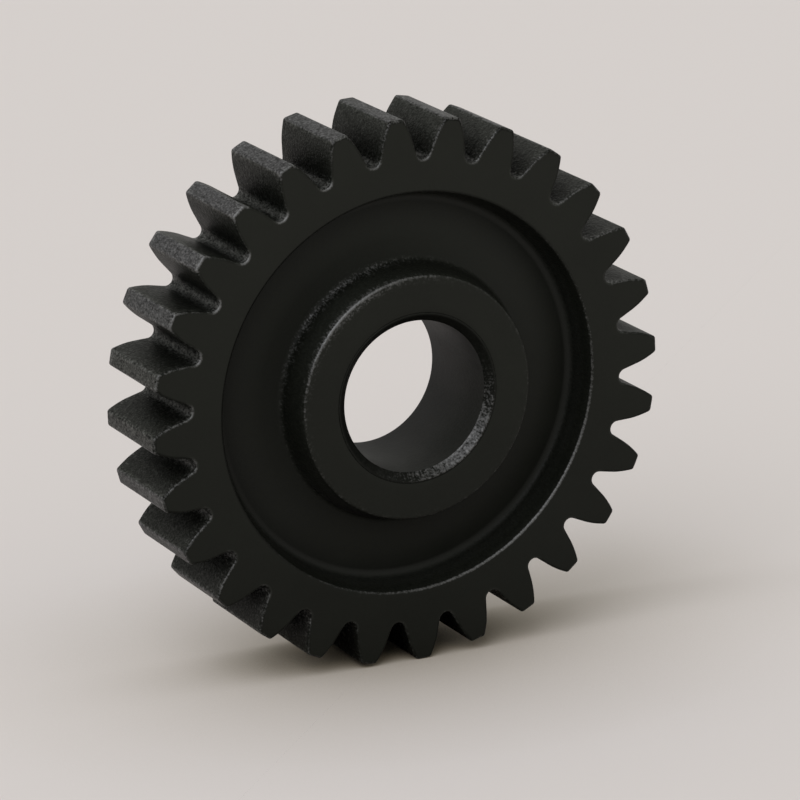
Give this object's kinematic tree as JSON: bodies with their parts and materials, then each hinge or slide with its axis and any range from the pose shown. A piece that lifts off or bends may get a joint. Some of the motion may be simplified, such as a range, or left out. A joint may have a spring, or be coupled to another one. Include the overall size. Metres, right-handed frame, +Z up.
{
  "type": "spur gear wheel on a plain bush",
  "caption": "Straight-toothed gear wheel with dished web and proud hub, free to turn on a plain sleeve bush that fits a shaft or stud.",
  "frame": {"origin": "on the bore axis, half way along the hub and bush", "axes": "+Y along the bore from the proud hub face to the flush face, +Z up, +X to the right when the proud hub face is seen"},
  "size_m": [0.09, 0.0206, 0.09],
  "materials": {
    "gear_black": "matt black, fine shot-blasted grain with lighter speckle, edges burnished slightly paler",
    "bush_dark": "smooth blackened steel, slightly lighter and smoother than the wheel"
  },
  "bodies": {
    "bush": {"bore_bush": "bush_dark"},
    "wheel": {"gear_wheel": "gear_black"}
  },
  "joints": [
    {"name": "wheel_spin", "type": "hinge", "parent": "bush", "child": "wheel", "pos_m": [0, 0, 0], "axis": [0, 1, 0], "continuous": true}
  ]
}
